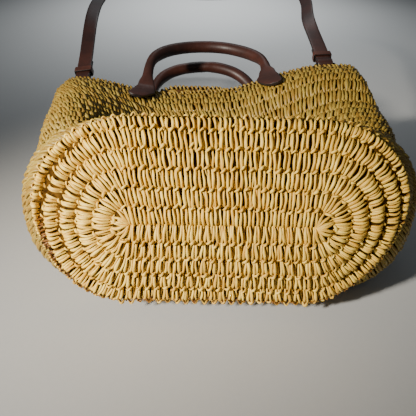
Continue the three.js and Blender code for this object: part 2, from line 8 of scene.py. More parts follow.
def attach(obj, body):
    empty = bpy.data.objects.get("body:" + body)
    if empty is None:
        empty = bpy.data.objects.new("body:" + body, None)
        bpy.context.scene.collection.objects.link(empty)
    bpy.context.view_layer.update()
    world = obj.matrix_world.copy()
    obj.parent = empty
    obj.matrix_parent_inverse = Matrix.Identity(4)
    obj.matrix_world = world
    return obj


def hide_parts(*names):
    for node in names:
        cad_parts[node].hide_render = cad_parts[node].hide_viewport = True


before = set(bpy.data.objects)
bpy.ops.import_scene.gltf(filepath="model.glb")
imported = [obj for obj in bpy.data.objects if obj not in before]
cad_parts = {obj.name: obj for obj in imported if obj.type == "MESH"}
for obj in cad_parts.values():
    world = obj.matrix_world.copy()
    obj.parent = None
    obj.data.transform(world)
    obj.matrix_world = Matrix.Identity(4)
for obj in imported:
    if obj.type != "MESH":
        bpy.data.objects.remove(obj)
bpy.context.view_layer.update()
rng = np.random.default_rng(11)
print("frame loaded")

# camera, in millimetres and degrees
cameraValues = {"place": (-2.71, -601.1, 301.3), "pitch": 34.73, "roll": 1.09, "lens": 42.14}


def makeCamera():
    data = bpy.data.cameras.new("camera")
    data.lens = cameraValues["lens"]
    data.sensor_width = 36
    data.clip_start = 0.02
    data.clip_end = 30
    camera = bpy.data.objects.new("camera", data)
    bpy.context.scene.collection.objects.link(camera)
    pitch = math.radians(cameraValues["pitch"])
    roll = math.radians(cameraValues["roll"])
    ahead = Vector((0, math.cos(pitch), -math.sin(pitch)))
    upward = Vector((0, math.sin(pitch), math.cos(pitch)))
    side = Vector((1, 0, 0))
    right = side * math.cos(roll) + upward * math.sin(roll)
    top = upward * math.cos(roll) - side * math.sin(roll)
    turned = Matrix((right, top, -ahead)).transposed().to_4x4()
    camera.matrix_world = Matrix.Translation(Vector(cameraValues["place"]) / 1000) @ turned
    bpy.context.scene.camera = camera


makeCamera()
print("camera made")


# shader maths
class Wire:
    def __init__(self, tree, socket):
        self.tree = tree
        self.socket = socket

    def put(self, target):
        self.tree.links.new(self.socket, target)

    def maths(self, kind, *others):
        node = self.tree.nodes.new("ShaderNodeMath")
        node.operation = kind
        for slot, value in zip(node.inputs, (self, *others)):
            feed(self.tree, slot, value)
        return Wire(self.tree, node.outputs[0])

    def flipped(self, kind, other):
        node = self.tree.nodes.new("ShaderNodeMath")
        node.operation = kind
        feed(self.tree, node.inputs[0], other)
        feed(self.tree, node.inputs[1], self)
        return Wire(self.tree, node.outputs[0])

    def __add__(self, other):
        return self.maths("ADD", other)

    def __radd__(self, other):
        return self.flipped("ADD", other)

    def __sub__(self, other):
        return self.maths("SUBTRACT", other)

    def __rsub__(self, other):
        return self.flipped("SUBTRACT", other)

    def __mul__(self, other):
        return self.maths("MULTIPLY", other)

    def __rmul__(self, other):
        return self.flipped("MULTIPLY", other)

    def floor(self):
        return self.maths("FLOOR")

    def limit(self):
        node = self.tree.nodes.new("ShaderNodeClamp")
        self.put(node.inputs["Value"])
        return Wire(self.tree, node.outputs[0])

    def between(self, low, high):
        node = self.tree.nodes.new("ShaderNodeMapRange")
        node.interpolation_type = "SMOOTHSTEP"
        self.put(node.inputs["Value"])
        node.inputs["From Min"].default_value = low
        node.inputs["From Max"].default_value = high
        return Wire(self.tree, node.outputs[0])


def feed(tree, socket, value):
    if isinstance(value, Wire):
        value.put(socket)
    elif value is not None:
        socket.default_value = value


class Finish:
    def __init__(self, name):
        self.material = bpy.data.materials.new(name)
        self.material.use_nodes = True
        self.tree = self.material.node_tree
        self.shader = self.tree.nodes["Principled BSDF"]

    def node(self, kind, settings=None, out=0, **sockets):
        made = self.tree.nodes.new("ShaderNode" + kind)
        for key, value in (settings or {}).items():
            setattr(made, key, value)
        for key, value in sockets.items():
            feed(self.tree, made.inputs[key.replace("_", " ")], value)
        return Wire(self.tree, made.outputs[out])

    def mix(self, amount, low, high):
        made = self.tree.nodes.new("ShaderNodeMix")
        made.data_type = "RGBA"
        feed(self.tree, made.inputs[0], amount)
        for slot, value in ((made.inputs[6], low), (made.inputs[7], high)):
            feed(self.tree, slot, value if isinstance(value, Wire) else (*value, 1))
        return Wire(self.tree, made.outputs[2])

    def vector(self, x=0, y=0, z=0):
        return self.node("CombineXYZ", X=x, Y=y, Z=z)

    def strandPlace(self):
        place = self.node("UVMap", {"uv_map": "strand"})
        split = self.tree.nodes.new("ShaderNodeSeparateXYZ")
        place.put(split.inputs[0])
        return Wire(self.tree, split.outputs[0]), Wire(self.tree, split.outputs[1])

    def objectPlace(self):
        return self.node("TexCoord", out=3)

    def noise(self, place, scale, detail=2.0, rough=0.5):
        return self.node("TexNoise", Vector=place, Scale=scale, Detail=detail, Roughness=rough)

    def set(self, **sockets):
        for key, value in sockets.items():
            feed(self.tree, self.shader.inputs[key.replace("_", " ")], value)
        return self

    def bump(self, height, strength, distance):
        made = self.node("Bump", Height=height, Strength=strength, Distance=distance)
        made.put(self.shader.inputs["Normal"])
        return self


strawValues = {
    # dark is painted shade, put on the strands' flanks and undersides
    "dark": (0.2, 0.08, 0.01),
    "mid": (0.68, 0.36, 0.035),
    "light": (1.0, 0.72, 0.13),
    "roughness": 0.42,
    "wallShade": 0.39,   # painted shade: the wall's straw colours are darkened, as the wall lies in the shade of the base
}


# shade darkens every straw colour; below 1 it is painted shade
def strawFinish(name, shade=1.0):
    made = Finish(name)
    around, along = made.strandPlace()
    tone = made.node("TexWhiteNoise", {"noise_dimensions": "1D"}, W=around.floor())
    fibre = made.noise(made.vector(around * 9.0, along * 0.07, 0), 1.0, 3.0, 0.6)
    patch = made.noise(made.objectPlace(), 22.0, 2.0)
    crinkle = made.noise(made.vector(around * 3.0, along * 0.45, 3), 1.0, 2.0)
    level = (fibre.between(0.36, 0.64) * 0.6 + tone * 0.28 + patch.between(0.3, 0.7) * 0.12).limit()
    top = (around.maths("FRACT") * (2 * math.pi)).maths("SINE")   # 1 on the crest, -1 underneath: the strand's flanks and underside get painted shade
    low, mid, high = [tuple(shade * c for c in strawValues[k]) for k in ("dark", "mid", "light")]
    crest = made.mix(level.between(0.1, 0.9), mid, high)
    # painted shade: the dark colour goes on each strand's flanks and underside, the crest keeps the straw's
    # own tones, and random fibre streaks move the border
    made.set(
        Base_Color=made.mix((top + (fibre - 0.5) * 1.6).between(-0.3, 0.8), low, crest),
        Roughness=strawValues["roughness"] + 0.16 * crinkle,
        Specular_IOR_Level=0.45,
    )
    return made.bump(fibre * 0.6 + crinkle, 0.55, 0.0006).material


# painted shade: the core is a near-black brown sheet under the stitches, so the holes between them read dark
coreShadeValues = {"dark": (0.03, 0.013, 0.002), "light": (0.12, 0.055, 0.008)}


def coreShadeFinish():
    made = Finish("straw_depth")
    patch = made.noise(made.objectPlace(), 260.0, 3.0)
    made.set(
        Base_Color=made.mix(patch.between(0.35, 0.7), coreShadeValues["dark"], coreShadeValues["light"]),
        Roughness=0.95,
        Specular_IOR_Level=0.05,
    )
    return made.bump(patch, 0.6, 0.001).material


leatherValues = {
    "leather": ((0.026, 0.0085, 0.0052), (0.076, 0.02, 0.011), 0.4),   # dark, light, roughness
    "trim_leather": ((0.04, 0.011, 0.006), (0.13, 0.035, 0.017), 0.42),
    "grain": 950.0,
}


def leatherFinish(name):
    dark, light, roughness = leatherValues[name]
    made = Finish(name)
    place = made.objectPlace()
    grain = made.node("TexVoronoi", {"feature": "SMOOTH_F1"}, Vector=place, Scale=leatherValues["grain"])
    cloud = made.noise(place, 34.0, 4.0, 0.6)
    fine = made.noise(place, 420.0, 3.0)
    made.set(
        Base_Color=made.mix(cloud.between(0.3, 0.72) * 0.75 + fine * 0.25, dark, light),
        Roughness=roughness + 0.18 * fine,
        Coat_Weight=0.12,
        Coat_Roughness=0.35,
    )
    return made.bump(grain * 0.7 + fine * 0.5, 0.28, 0.0004).material


edgeValues = {"dark": (0.008, 0.006, 0.006), "light": (0.022, 0.014, 0.012), "roughness": 0.36}


def edgeFinish():
    made = Finish("edge_paint")
    patch = made.noise(made.objectPlace(), 300.0, 3.0)
    made.set(
        Base_Color=made.mix(patch, edgeValues["dark"], edgeValues["light"]),
        Roughness=edgeValues["roughness"] + 0.2 * patch,
    )
    return made.bump(patch, 0.3, 0.0005).material


metalValues = {"dark": (0.018, 0.016, 0.015), "light": (0.06, 0.055, 0.05), "roughness": 0.28}


def metalFinish():
    made = Finish("ring_metal")
    patch = made.noise(made.objectPlace(), 220.0, 4.0)
    made.set(
        Base_Color=made.mix(patch.between(0.4, 0.75), metalValues["dark"], metalValues["light"]),
        Metallic=0.85,
        Roughness=metalValues["roughness"] + 0.2 * patch,
    )
    return made.bump(patch, 0.12, 0.0004).material


materials = {
    "straw": strawFinish("straw"),
    "wall": strawFinish("straw_wall", strawValues["wallShade"]),
    "core": coreShadeFinish(),
    "leather": leatherFinish("leather"),
    "trim": leatherFinish("trim_leather"),
    "edge": edgeFinish(),
    "metal": metalFinish(),
}
print("materials made")

# the straw's surface, the same as the solid's, in millimetres from the base
shape = {
    "chain": 141, "row": 14.4, "flat": 5, "reach": 8.4, "drop": 10.8, "bulge": 11.2, "lean": 20,
    "wall": 16, "thick": 4.4, "furrow": 1.7, "depth": 217, "swell": 18.8,
}
toRow = np.array([8.796, -317.644, 0.0])
leanSin = math.sin(math.radians(shape["lean"]))
leanCos = math.cos(math.radians(shape["lean"]))
edgeRound = shape["flat"] + 1
rimRound = edgeRound + shape["wall"]
edgeRadius = shape["row"] * shape["flat"] + shape["reach"]
edgeBack = shape["bulge"] + shape["drop"]
middleY = leanSin * edgeRadius - leanCos * edgeBack
middleZ = leanCos * edgeRadius + leanSin * edgeBack
lyingHeight = 2 * leanCos * edgeRadius
edgeHalf = shape["chain"] / 2 + edgeRadius
bodyHalf = edgeHalf + shape["swell"]
columns = ("frontY", "backY", "half", "run", "frontZ", "sag", "lift", "tilt", "shift", "aside", "box")
lying = np.array([
    # far, front, back, wide, roundEnd, top, sag, lift, tilt, shift, aside, box
    (0.095, 0.283, 0.09, 0.952, 0.44, 0.95, 0.07, 0, 0, 0, 0, 0.95),
    (0.19, 0.327, 0.185, 0.944, 0.36, 0.9, 0.19, 0, 0, 0, 0, 0.84),
    (0.31, 0.395, 0.315, 0.926, 0.28, 0.87, 0.29, 0, -0.015, 0, -0.025, 0.72),
    (0.47, 0.51, 0.48, 0.955, 0.25, 0.86, 0.32, 0.12, -0.02, -0.02, -0.015, 0.66),
    (0.655, 0.665, 0.68, 0.964, 0.23, 0.852, 0.26, 0.3, -0.021, -0.045, -0.022, 0.64),
    (0.845, 0.84, 0.875, 0.953, 0.22, 0.894, 0.19, 0.49, 0.053, -0.07, -0.067, 0.57),
    (1, 1, 1.03, 0.957, 0.19, 0.856, 0.15, 0.655, 0.07, -0.094, -0.073, 0.55),
])
depth, body, high = shape["depth"], bodyHalf, lyingHeight
lyingSizes = np.array([depth, depth, body, body, high, high, high, high, body, body, 1])
firstLine = (2 * leanSin * edgeRadius, 0, edgeHalf, edgeRadius, lyingHeight, 0, 0, 0, 0, 0, 1)
lyingLines = np.vstack([firstLine, lying[:, 1:] * lyingSizes])
lyingRounds = np.concatenate([[edgeRound], edgeRound + lying[:, 0] * shape["wall"]])
edgeTable = (   # across, up, reach, drop, fade, from which round
    (-1, 0, -0.04, -0.5, 3, 5), (1, 0, -0.8, 0.1, 3, 5),
    (0, -1, -1.07, 0.35, 2, 5), (0, 1, -0.72, 0, 2.5, 5),
    (-0.707, -0.707, -1.17, 0, 2, 5), (0.707, -0.707, -1.22, 0, 2, 5),
    (-0.707, 0.707, 0.66, 0, 2.5, 5), (0.707, 0.707, 0.82, 0, 2.5, 5),
    (0, -1, -0.13, -0.11, 2.5, 1), (0.8, -0.6, -1.26, 0.67, 2.5, 1),
    (-0.8, -0.6, 0.02, -0.15, 2.5, 1),
    (1, 0, 0.3, -0.26, 2.5, 1), (-1, 0, -0.19, 0.14, 2.5, 1),
)


def unit(v):
    return v / np.maximum(np.linalg.norm(v, axis=-1, keepdims=True), 1e-9)


def smooth(low, high, value):
    t = np.clip((np.asarray(value, float) - low) / (high - low), 0, 1)
    return t * t * (3 - 2 * t)


def monotone(marks, values, want):
    slopes = np.diff(values) / np.diff(marks)
    before, after = slopes[:-1], slopes[1:]
    inner = np.where(before * after > 0, 2 * before * after / (before + after + 1e-30), 0)
    tangent = np.concatenate([slopes[:1], inner, slopes[-1:]])
    i = np.clip(np.searchsorted(marks, want, side="left") - 1, 0, len(marks) - 2)
    width = marks[i + 1] - marks[i]
    t = (want - marks[i]) / width
    low = (1 + 2 * t) * (1 - t) ** 2 * values[i] + t * (1 - t) ** 2 * width * tangent[i]
    return low + t * t * (3 - 2 * t) * values[i + 1] + t * t * (t - 1) * width * tangent[i + 1]


def edgeShift(dx, db, rounds, beyond):
    reach = 0
    drop = 0
    for across, upward, far, back, fade, start in edgeTable:
        power = 1 if start == shape["flat"] else 1.3
        turned = np.clip((rounds - start) / (edgeRound - start), 0, 1) ** power
        share = turned * (1 - smooth(0, fade, beyond)) * np.maximum(0, dx * across + db * upward) ** 2
        reach = reach + far * share * shape["reach"]
        drop = drop + back * share * shape["drop"]
    y = leanSin * db * reach + leanCos * drop
    z = leanCos * db * reach - leanSin * drop
    return np.stack([dx * reach, y, z], -1)


class Grid:
    def __init__(self, points, first, step):
        self.points = points
        self.first = first
        self.step = step
        along = np.roll(points, -1, 1) - np.roll(points, 1, 1)
        across = np.gradient(points, axis=0)
        self.normals = unit(np.cross(along, across))
        if first == 0:
            plain = np.array([0, -leanCos, leanSin])
            blend = smooth(0.5, 1.0, np.arange(len(points)) * step)[:, None, None]
            self.normals = unit(self.normals * blend + plain * (1 - blend))

    def at(self, rounds, cols):
        r = np.clip((rounds - self.first) / self.step, 0, len(self.points) - 1.001)
        i = np.floor(r).astype(int)
        a = (r - i)[..., None]
        n = self.points.shape[1]
        j = np.floor(cols).astype(int)
        b = (cols - j)[..., None]
        j, k = j % n, (j + 1) % n
        found = []
        for grid in (self.points, self.normals):
            low = grid[i, j] * (1 - b) + grid[i, k] * b
            found.append(low * (1 - a) + (grid[i + 1, j] * (1 - b) + grid[i + 1, k] * b) * a)
        return found[0], unit(found[1])


def baseGrid():
    half = shape["chain"] / 2
    arc = np.linspace(0, math.pi, 60, endpoint=False)
    x = np.concatenate([
        np.linspace(0, half, 20, endpoint=False), np.full(60, half),
        np.linspace(half, -half, 40, endpoint=False), np.full(60, -half),
        np.linspace(-half, 0, 20, endpoint=False),
    ])
    angle = np.concatenate([
        np.zeros(20), arc, np.full(40, math.pi), math.pi + arc, np.full(20, 2 * math.pi),
    ])
    dx, db = np.sin(angle), np.cos(angle)
    rounds = np.arange(0, edgeRound + 0.01, 0.125)[:, None]
    turned = np.maximum(0, rounds - shape["flat"])
    flat = np.minimum(rounds, shape["flat"])
    radius = shape["row"] * flat + shape["reach"] * np.sin(turned * math.pi / 2) ** 0.9
    back = shape["bulge"] * (flat / shape["flat"]) ** 2 + shape["drop"] * turned ** 1.6
    zero = np.zeros_like(radius * x)
    points = np.stack([
        x + dx * radius,
        middleY + leanSin * db * radius + leanCos * back + zero,
        middleZ + leanCos * db * radius - leanSin * back + zero,
    ], -1) + edgeShift(dx + zero, db + zero, rounds + zero, 0)
    straight = np.concatenate([[0], np.cumsum(np.abs(np.diff(np.append(x, 0))))])
    turns = np.append(angle, 2 * math.pi)
    return Grid(points, 0, 0.125), straight, turns


def wallGrid(count=640):
    rounds = np.arange(edgeRound, rimRound + 0.01, 0.125)
    read = {}
    for i, name in enumerate(columns):
        read[name] = monotone(lyingRounds, lyingLines[:, i], rounds)[:, None]
    a = np.linspace(0, math.pi, 145)
    run, box = read["run"], read["box"]
    straight = np.maximum(read["half"] - run, 0)
    c = np.cos(a)
    x = straight + run * np.sin(a).clip(0) ** box
    b = np.sign(c) * np.abs(c) ** box
    lead = np.linspace(0, 1, 24, endpoint=False)
    one = np.ones_like(lead) + np.zeros_like(straight)
    x = np.concatenate([straight * lead, x, straight * (1 - lead[1:]), straight * 0], 1)
    b = np.concatenate([one, b, -one[:, 1:], -one[:, :1]], 1)
    dx = np.concatenate([lead * 0, np.sin(a), lead * 0]) + 0 * x
    db = np.concatenate([lead * 0 + 1, c, lead * 0 - 1]) + 0 * x
    x = np.concatenate([x, -x[:, -2:0:-1]], 1)
    b = np.concatenate([b, b[:, -2:0:-1]], 1)
    dx = np.concatenate([dx, -dx[:, -2:0:-1]], 1)
    db = np.concatenate([db, db[:, -2:0:-1]], 1)
    middle = 1 - smooth(0.14, 0.8, np.abs(x - read["shift"]) / read["half"])
    front, back = smooth(0, 1, b), smooth(0, 1, -b)
    lift = back * read["lift"] * middle
    y = (read["frontY"] + read["backY"]) / 2 + b * (read["frontY"] - read["backY"]) / 2 + 0.1 * lift
    sunk = front * (read["tilt"] * x / read["half"] - read["sag"] * middle)
    z = read["frontZ"] * (1 + b) / 2 + sunk + lift
    lines = np.stack([x + read["aside"], y, z], -1)
    lines = lines + edgeShift(dx, db, edgeRound, rounds[:, None] - edgeRound)
    even = []
    for line in lines:
        closed = np.vstack([line, line[:1]])
        far = np.concatenate([[0], np.cumsum(np.linalg.norm(np.diff(closed, axis=0), axis=1))])
        want = far[-1] * np.arange(count) / count
        even.append(np.stack([np.interp(want, far, closed[:, k]) for k in range(3)], -1))
    return Grid(np.array(even), edgeRound, 0.125)


base, baseStraight, baseTurns = baseGrid()
wall = wallGrid()
wallCount = wall.points.shape[1]
print("surface made")


# skins swept along many lines at once
def sweep(at, up, profile, closed=False, first=0, across=None):
    ahead = np.roll(at, -1, 1) - np.roll(at, 1, 1) if closed else np.gradient(at, axis=1)
    ahead = unit(ahead)
    up = unit(up - ahead * np.sum(up * ahead, -1, keepdims=True))
    across = np.cross(up, ahead) if across is None else across
    rings = at[:, :, None] + profile[..., :1] * across[:, :, None] + profile[..., 1:] * up[:, :, None]
    n, m, k = rings.shape[:3]
    index = np.arange(n * m * k).reshape(n, m, k)
    low = index if closed else index[:, :-1]
    upper = np.roll(index, -1, 1) if closed else index[:, 1:]
    quads = np.stack([low, np.roll(low, -1, 2), np.roll(upper, -1, 2), upper], -1)
    pieces = np.linalg.norm(np.roll(at, -1, 1) - at, axis=-1)
    far = np.concatenate([np.zeros((n, 1)), np.cumsum(pieces, 1)], 1)
    spans = quads.shape[1]
    u = np.arange(k) / k
    uv = np.zeros((n, spans, k, 4, 2))
    ids = (first + np.arange(n))[:, None, None, None]
    uv[..., 0] = ids + 0.0005 + 0.999 * np.stack([u, u + 1 / k, u + 1 / k, u], -1)
    start, end = far[:, :spans, None], far[:, 1:spans + 1, None]
    uv[..., 1] = np.stack([start + 0 * u, start + 0 * u, end + 0 * u, end + 0 * u], -1)
    return rings.reshape(-1, 3), quads.reshape(-1, 4), uv.reshape(-1, 2)


def joined(parts):
    verts, quads, uvs = [], [], []
    count = 0
    for v, q, uv in parts:
        verts.append(v)
        quads.append(q + count)
        uvs.append(uv)
        count += len(v)
    return np.vstack(verts), np.vstack(quads), np.vstack(uvs)


def piece(name, parts, finishes, node, marks=None):
    verts, quads, uvs = joined(parts)
    verts[:, 2] = np.maximum(verts[:, 2], -0.3)   # nothing sinks into the floor
    mesh = bpy.data.meshes.new(name)
    mesh.vertices.add(len(verts))
    mesh.vertices.foreach_set("co", ((verts + toRow) / 1000).astype(np.float32).ravel())
    mesh.loops.add(quads.size)
    mesh.loops.foreach_set("vertex_index", quads.astype(np.int32).ravel())
    mesh.polygons.add(len(quads))
    mesh.polygons.foreach_set("loop_start", np.arange(0, quads.size, 4, dtype=np.int32))
    layer = mesh.uv_layers.new(name="strand")
    layer.data.foreach_set("uv", uvs.astype(np.float32).ravel())
    for finish in finishes:
        mesh.materials.append(finish)
    if marks is not None:
        mesh.polygons.foreach_set("material_index", marks.astype(np.int32))
    mesh.update(calc_edges=True)
    mesh.validate()
    mesh.shade_smooth()
    made = bpy.data.objects.new(name, mesh)
    bpy.context.scene.collection.objects.link(made)
    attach(made, "root")
    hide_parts(node)
    print(name, len(quads) * 2, "triangles")
    return made


# crochet
# Every stitch is a thick and a thin leg that rise from the hole nearer the base's middle
# and spread towards the next round, and a curl that closes it. Shares are of the stitch's pitch.
stitchValues = {
    "counts": (53, 65, 76, 86, 94, 101), "wallCount": 122,
    "shiftEachRound": 0.37, "jitter": 0.05, "lean": 0.45,
    # radius, place at the hole and at the far end, from and to in rounds, crest, crest at the ends
    "upperLegs": (
        (1.14, -0.16, -0.34, -0.12, 1.04, -0.9, -0.8),
        (1.08, 0.33, 0.17, -0.12, 1.06, -1.1, -1.0),
        (1.05, 0.1, -0.12, -0.05, 1.0, -3.0, -1.1),
    ),
    "lowerLegs": (
        (1.18, -0.08, -0.26, -0.12, 1.04, -0.9, -0.8),
        (1.12, 0.14, 0.25, -0.12, 1.06, -1.1, -1.0),
        (1.05, 0.5, 0.5, -0.05, 1.0, -3.2, -1.1),
    ),
    "wallLegs": (
        (1.75, -0.17, -0.3, -0.08, 1.02, -1.35, -1.35),
        (1.6, 0.24, 0.17, -0.08, 1.04, -1.6, -1.6),
    ),
    "dip": (-4.7, -6.6, -3.0), "curl": 1.0,   # in the middle, at the ends, on the wall
}


def lay(k, places, rounds, offset):
    # places: share of the round for each stitch; offset: shares of a pitch along each line
    if k <= edgeRound:
        cumulated = baseStraight + baseTurns * shape["row"] * (k - 0.5)
        total = cumulated[-1]
        want = (places * total + offset * total / len(places)) % total
        cols = np.interp(want, cumulated, np.arange(len(cumulated)))
        return base.at(rounds, cols)
    return wall.at(rounds, (places + offset / len(places)) * wallCount)


def twisted(n, m, sides, radius, lobes, depthShare, turns):
    turn = 2 * math.pi * np.arange(sides) / sides
    turns = np.broadcast_to(np.asarray(turns, float), (n,))[:, None, None]
    along = np.linspace(0, 1, m)[None, :, None]
    spin = rng.uniform(0, 2 * math.pi, (n, 1, 1)) + turns * math.pi * lobes * along
    r = radius[..., None] * (1 + depthShare * np.cos(lobes * turn - spin))
    return np.stack([r * np.cos(turn), r * np.sin(turn)], -1)


def legs(k, share, rings, sides, upper, lower):
    n = len(share)
    height = lay(k, share[:, None], np.full((n, 1), k - 0.5), 0)[0][:, :, 2] - middleZ
    below = smooth(3, -3, height) if k <= edgeRound else np.zeros((n, 1))
    blended = [a + (b - a) * below for a, b in zip(upper, lower)]
    radius, near, far, start, end, crest, crestAtEnds = blended
    q = np.linspace(0, 1, rings)[None, :]
    jitter = rng.normal(0, stitchValues["jitter"], (n, 2))
    rounds = k - 1 + start + (end - start) * q + rng.normal(0, 0.02, (n, 1))
    turned = lay(k, share[:, None], rounds[:, :1], near)[0][:, :1, 0]
    ends = smooth(0.42, 0.7, np.abs(turned) / bodyHalf) if k <= edgeRound else np.zeros((n, 1))
    rounds = rounds + ends * (0.1 - 0.18 * q)
    jitter = jitter * (1 + 1.2 * ends)
    lean = stitchValues["lean"] * np.clip(turned / 85, -1, 1) * (1 - 2 * below) * (1 - ends)
    offset = near + (far - near + lean) * q ** 1.2 + jitter[:, :1] * (1 - q) + jitter[:, 1:] * q
    offset = offset + 0.035 * np.sin(8 * q + rng.uniform(0, 6.3, (n, 1)))
    at, normals = lay(k, share[:, None], rounds, offset)
    arch = np.sin(math.pi * q) ** (0.7 + 0.3 * ends)
    middleDip, endDip, wallDip = stitchValues["dip"]
    dip = middleDip * (1 - ends) + endDip * ends if k <= edgeRound else wallDip
    crest = crest * (1 - ends) + crestAtEnds * ends + rng.normal(0, 0.25, (n, 1))
    at = at + normals * (dip + (crest - dip) * arch)[..., None]
    swell = np.sin(math.pi * (q ** 0.7 * (1 - below) + q ** 1.45 * below))
    swell = (0.66 + 0.42 * swell) * (1 + rng.normal(0, 0.12, (n, 1)))
    return at, normals, twisted(n, rings, sides, radius * swell, 3, 0.2, rng.uniform(0.3, 1.0, n))


def curls(k, share, rings, sides, radius):
    n = len(share)
    q = np.linspace(0, 1, rings)[None, :]
    wobble = rng.normal(0, 0.07, (n, 1))
    rounds = k - 0.15 + 0.25 * q + wobble
    at, normals = lay(k, share[:, None], rounds, -0.42 + 0.6 * q + wobble)
    inset = 3.4 * smooth(0.38, 0.66, np.abs(at[:, :1, 0]) / bodyHalf) if k < edgeRound else 0.2
    crest = (3.9 if k <= edgeRound else 2.6) + rng.normal(0, 0.45 if k <= edgeRound else 0.2, (n, 1))
    height = -3.9 - inset + crest * np.sin(math.pi * q) ** 0.8
    at = at + normals * height[..., None]
    swell = (0.75 + 0.35 * np.sin(math.pi * q)) * (1 + rng.normal(0, 0.14, (n, 1)))
    return at, normals, twisted(n, rings, sides, radius * swell, 2, 0.2, 0.8)


def crochet(name, rounds, finish):
    parts = []
    count = 0
    for k in rounds:
        onBase = k <= edgeRound
        n = stitchValues["counts"][k - 1] if onBase else stitchValues["wallCount"]
        share = (np.arange(n) + stitchValues["shiftEachRound"] * k) / n
        uppers = stitchValues["upperLegs" if onBase else "wallLegs"]
        lowers = stitchValues["lowerLegs" if onBase else "wallLegs"]
        rings, sides = (10, 8) if onBase else (7, 6)
        made = [legs(k, share, rings, sides, *pair) for pair in zip(uppers, lowers)]
        made.append(curls(k, share, 7 if onBase else 5, 6 if onBase else 5, stitchValues["curl"]))
        for at, up, profile in made:
            parts.append(sweep(at, up, profile, first=count))
            count += n
    return piece(name, parts, [finish], "basket_body")


crochet("stitches_base_inner", (1, 2, 3, 4), materials["straw"])
crochet("stitches_base_outer", (5, 6), materials["straw"])
# the wall's stitches take the straw darkened with painted shade
crochet("stitches_wall_low", range(7, 12), materials["wall"])
crochet("stitches_wall_middle", range(12, 17), materials["wall"])
crochet("stitches_wall_high", range(17, 23), materials["wall"])
print("stitches made")


# what is behind the stitches: outside, a dark core sheet that paints shade into the holes between the
# stitches; inside, ribs of stitch backs
innerValues = {"coreDepth": 3.1, "furrow": 1.6, "rib": 0.9, "knot": 0.75}


def coreDepth(rounds):
    furrow = innerValues["furrow"] * (0.5 + 0.5 * math.cos(2 * math.pi * rounds))
    return min(innerValues["coreDepth"] + furrow, shape["thick"] - 0.4)


def coreSkin():
    outer = []
    for first in np.arange(0, edgeRound, 0.25):
        cols = np.linspace(0, len(baseTurns) - 1, 240, endpoint=False)
        at, normals = base.at(np.full(240, first), cols)
        outer.append(at - normals * coreDepth(first))
    for first in np.arange(edgeRound, rimRound + 0.01, 0.25):
        at, normals = wall.at(np.full(240, first), np.arange(240) * wallCount / 240)
        outer.append(at - normals * coreDepth(first))
    return np.array(outer)


def liningSkin():
    rings = []
    count = 424
    for r in np.arange(rimRound, edgeRound - 0.01, -0.2):
        at, normals = wall.at(np.full(count, r), np.arange(count) * wallCount / count)
        rib = innerValues["rib"] * abs(math.sin(math.pi * r))
        phase = 2 * math.pi * np.arange(count) * stitchValues["wallCount"] / count
        knot = innerValues["knot"] * np.sin(phase + 2.3 * math.floor(r))
        rings.append(at - normals * (shape["thick"] - 0.3 + rib + knot[:, None] * rib))
    for r in np.arange(edgeRound - 0.25, -0.01, -0.25):
        cols = np.linspace(0, len(baseTurns) - 1, count, endpoint=False)
        at, normals = base.at(np.full(count, max(r, 0)), cols)
        rib = innerValues["rib"] * abs(math.sin(math.pi * r))
        rings.append(at - normals * (shape["thick"] - 0.3 + rib))
    return np.array(rings)


def sheetPart(rings):
    m, k = rings.shape[:2]
    index = np.arange(m * k).reshape(m, k)
    low, upper = index[:-1], index[1:]
    quads = np.stack([low, np.roll(low, -1, 1), np.roll(upper, -1, 1), upper], -1).reshape(-1, 4)
    u = np.arange(k) / k * 60
    v = np.arange(m) * 5.0
    uv = np.zeros((m - 1, k, 4, 2))
    uv[..., 0] = np.stack([u, u + 60 / k, u + 60 / k, u], -1)
    uv[..., 1] = np.stack([v[:-1], v[:-1], v[1:], v[1:]], -1)[:, None]
    return rings.reshape(-1, 3), quads, uv.reshape(-1, 2)


corePart = sheetPart(coreSkin())
liningPart = sheetPart(liningSkin())
coreMarks = np.concatenate([np.zeros(len(corePart[1])), np.ones(len(liningPart[1]))])
# the lining takes the straw darkened with painted shade
coreFinishes = [materials["core"], materials["wall"]]
piece("straw_core", [corePart, liningPart], coreFinishes, "basket_body", coreMarks)

# corded edging round the mouth
edgingValues = {"radius": 2.5, "clear": 0.3, "wraps": 212, "strand": 1.35, "wound": 2.05, "lean": 0.75}


def rimCord():
    n = edgingValues["wraps"]
    rings = 10
    q = np.linspace(0, 1, rings)[None, :]
    share = (np.arange(n)[:, None] + edgingValues["lean"] * (q - 0.5) * 2 + rng.normal(0, 0.08, (n, 1))) / n
    cols = share * wallCount
    rounds = np.full_like(cols, rimRound)
    last, normals = wall.at(rounds, cols)
    before = wall.at(rounds - 0.4, cols)[0]
    sunk = shape["thick"] / 2 + shape["furrow"] / 4
    out = unit(last - before)
    middle = last - normals * sunk + out * (edgingValues["radius"] + edgingValues["clear"])
    angle = math.radians(-200) + math.radians(400) * q + np.zeros((n, 1))
    reach = edgingValues["wound"] * (1 + rng.normal(0, 0.07, (n, 1)))
    away = out * np.cos(angle)[..., None] + normals * np.sin(angle)[..., None]
    at = middle + away * (reach - 0.9 * smooth(2.6, 3.5, np.abs(angle)))[..., None]
    radius = edgingValues["strand"] * (0.8 + 0.25 * np.sin(math.pi * q)) + np.zeros((n, 1))
    return sweep(at, away, twisted(n, rings, 6, radius, 2, 0.22, 1.0))


# the edging takes the straw darkened with painted shade
piece("rim_cord", [rimCord()], [materials["wall"]], "rim_edging")
print("edging made")


